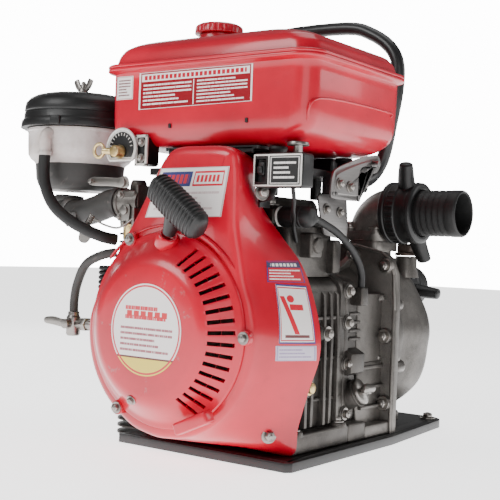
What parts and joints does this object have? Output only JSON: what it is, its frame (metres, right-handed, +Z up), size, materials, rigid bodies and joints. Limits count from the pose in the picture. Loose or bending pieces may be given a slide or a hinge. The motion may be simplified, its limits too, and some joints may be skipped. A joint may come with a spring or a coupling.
{
  "type": "small gasoline engine with water pump",
  "caption": "Air-cooled recoil-start gasoline engine with red fan shroud and fuel tank, driving a pump with a claw-coupled hose stub on a black base plate.",
  "frame": {"origin": "on the underside of the base plate, on its centre line, below the rear of the carry handle", "axes": "+Z up, +Y along the crankshaft from the recoil starter to the pump, +X towards the discharge hose stub"},
  "size_m": [0.442, 0.5074, 0.4805],
  "materials": {
    "red_paint": "gloss enamel over pressed steel",
    "black_paint": "satin black",
    "cast_aluminium": "as cast, satin",
    "machined_steel": "ground",
    "plated_steel": "zinc plated",
    "dark_iron": "heat stained",
    "black_rubber": "matt",
    "grey_rubber": "matt",
    "black_plastic": "moulded satin",
    "white_plastic": "translucent white, satin",
    "brass": "satin",
    "filter_foam": "open cell foam"
  },
  "bodies": {
    "root": {"base_plate": "black_paint", "crankcase": "cast_aluminium", "crankcase_cover": "cast_aluminium", "cylinder": "cast_aluminium", "cylinder_head": "cast_aluminium", "fan_shroud": "red_paint", "shroud_back_plate": "black_paint", "recoil_case": "red_paint", "recoil_spring": "machined_steel", "fuel_tank_lower": "red_paint", "fuel_tank_upper": "red_paint", "tank_support": "black_paint", "carry_handle": "black_paint", "handle_bracket": "plated_steel", "air_cleaner_bowl": "white_plastic", "air_cleaner_lid": "black_plastic", "filter_element": "filter_foam", "intake_elbow": "grey_rubber", "breather_hose": "black_rubber", "carburettor": "cast_aluminium", "float_bowl": "brass", "fuel_dial_plate": "white_plastic", "drain_cock": "plated_steel", "sediment_bowl": "brass", "fuel_hose": "grey_rubber", "spark_plug": "white_plastic", "spark_plug_cap": "black_rubber", "ignition_lead": "black_rubber", "switch_box": "black_plastic", "muffler": "dark_iron", "pump_adapter": "cast_aluminium", "shaft_seal": "black_rubber", "pump_casing": "cast_aluminium", "discharge_elbow": "cast_aluminium", "discharge_stub": "black_rubber", "suction_stub": "black_rubber"},
    "crank": {"crankshaft_front": "machined_steel", "crankshaft_rear": "machined_steel", "flywheel": "dark_iron", "starter_cup": "dark_iron", "impeller": "dark_iron"},
    "cam": {"camshaft": "machined_steel"},
    "piston": {"piston": "cast_aluminium", "wrist_pin": "machined_steel"},
    "connecting_rod": {"connecting_rod": "machined_steel"},
    "intake_valve": {"intake_valve": "machined_steel"},
    "exhaust_valve": {"exhaust_valve": "machined_steel"},
    "starter_grip": {"starter_grip": "black_plastic"},
    "recoil_pulley": {"recoil_pulley": "black_plastic"},
    "fuel_lever": {"fuel_lever": "brass"},
    "choke_lever": {"choke_lever": "plated_steel"},
    "throttle_lever": {"throttle_lever": "plated_steel"},
    "switch_lever": {"switch_lever": "black_plastic"},
    "fuel_cap": {"fuel_cap": "red_paint"},
    "oil_cap": {"oil_cap": "plated_steel"},
    "air_cleaner_wing_nut": {"air_cleaner_wing_nut": "plated_steel"},
    "discharge_coupling": {"discharge_coupling": "black_plastic"},
    "suction_coupling": {"suction_coupling": "black_plastic"},
    "priming_plug": {"priming_plug": "dark_iron"},
    "drain_cock_lever": {"drain_cock_lever": "plated_steel"}
  },
  "joints": [
    {"name": "crank_spin", "type": "hinge", "parent": "root", "child": "crank", "pos_m": [-0.01, -0.217, 0.13], "axis": [0, 1, 0], "continuous": true},
    {"name": "cam_spin", "type": "hinge", "parent": "root", "child": "cam", "pos_m": [-0.05, -0.12, 0.11], "axis": [0, 1, 0], "continuous": true},
    {"name": "piston_travel", "type": "slide", "parent": "root", "child": "piston", "axis": [0, 0, 1], "range_m": [0, 0.046]},
    {"name": "rod_swing", "type": "hinge", "parent": "piston", "child": "connecting_rod", "pos_m": [-0.01, -0.125, 0.176], "axis": [0, 1, 0], "range_deg": [-19, 19]},
    {"name": "intake_valve_lift", "type": "slide", "parent": "root", "child": "intake_valve", "axis": [0, 0, 1], "range_m": [0, 0.006]},
    {"name": "exhaust_valve_lift", "type": "slide", "parent": "root", "child": "exhaust_valve", "axis": [0, 0, 1], "range_m": [0, 0.006]},
    {"name": "grip_pull", "type": "slide", "parent": "root", "child": "starter_grip", "axis": [0.5781, -0.3489, 0.7376], "range_m": [0, 0.45]},
    {"name": "recoil_pulley_spin", "type": "hinge", "parent": "root", "child": "recoil_pulley", "pos_m": [-0.01, -0.276, 0.13], "axis": [0, 1, 0], "range_deg": [0, 620]},
    {"name": "fuel_lever_turn", "type": "hinge", "parent": "root", "child": "fuel_lever", "pos_m": [-0.114, -0.226, 0.311], "axis": [0, 1, 0], "range_deg": [-90, 90]},
    {"name": "choke_turn", "type": "hinge", "parent": "root", "child": "choke_lever", "pos_m": [-0.118, -0.2153, 0.279], "axis": [0, 1, 0], "range_deg": [-20, 35]},
    {"name": "throttle_turn", "type": "hinge", "parent": "root", "child": "throttle_lever", "pos_m": [-0.113, -0.2153, 0.249], "axis": [0, 1, 0], "range_deg": [-25, 25]},
    {"name": "switch_toggle", "type": "hinge", "parent": "root", "child": "switch_lever", "pos_m": [0.078, -0.232, 0.288], "axis": [1, 0, 0], "range_deg": [-12, 12]},
    {"name": "fuel_cap_turn", "type": "hinge", "parent": "root", "child": "fuel_cap", "pos_m": [-0.058, -0.135, 0.4476], "axis": [0, 0, 1], "range_deg": [0, 90]},
    {"name": "oil_cap_turn", "type": "hinge", "parent": "root", "child": "oil_cap", "pos_m": [0.09245, -0.05792, 0.0622], "axis": [0.8982, 0.1633, 0.4082], "range_deg": [0, 360]},
    {"name": "wing_nut_turn", "type": "hinge", "parent": "root", "child": "air_cleaner_wing_nut", "pos_m": [-0.222, -0.178, 0.389], "axis": [0, 0, 1], "range_deg": [0, 360]},
    {"name": "discharge_coupling_turn", "type": "hinge", "parent": "root", "child": "discharge_coupling", "pos_m": [0.062, 0.068, 0.263], "axis": [1, 0, 0], "range_deg": [0, 90]},
    {"name": "suction_coupling_turn", "type": "hinge", "parent": "root", "child": "suction_coupling", "pos_m": [0.015, 0.1343, 0.172], "axis": [0, 1, 0], "range_deg": [0, 90]},
    {"name": "priming_plug_turn", "type": "hinge", "parent": "root", "child": "priming_plug", "pos_m": [0.06, 0.103, 0.212], "axis": [0, 0, 1], "range_deg": [0, 360]},
    {"name": "drain_cock_turn", "type": "hinge", "parent": "root", "child": "drain_cock_lever", "pos_m": [-0.205, -0.196, 0.12], "axis": [0, 1, 0], "range_deg": [0, 90]}
  ],
  "couplings": [
    {"joint": "cam_spin", "follows": "crank_spin", "ratio": -0.5},
    {"joint": "recoil_pulley_spin", "follows": "grip_pull", "rad_per_m": 23.8}
  ]
}
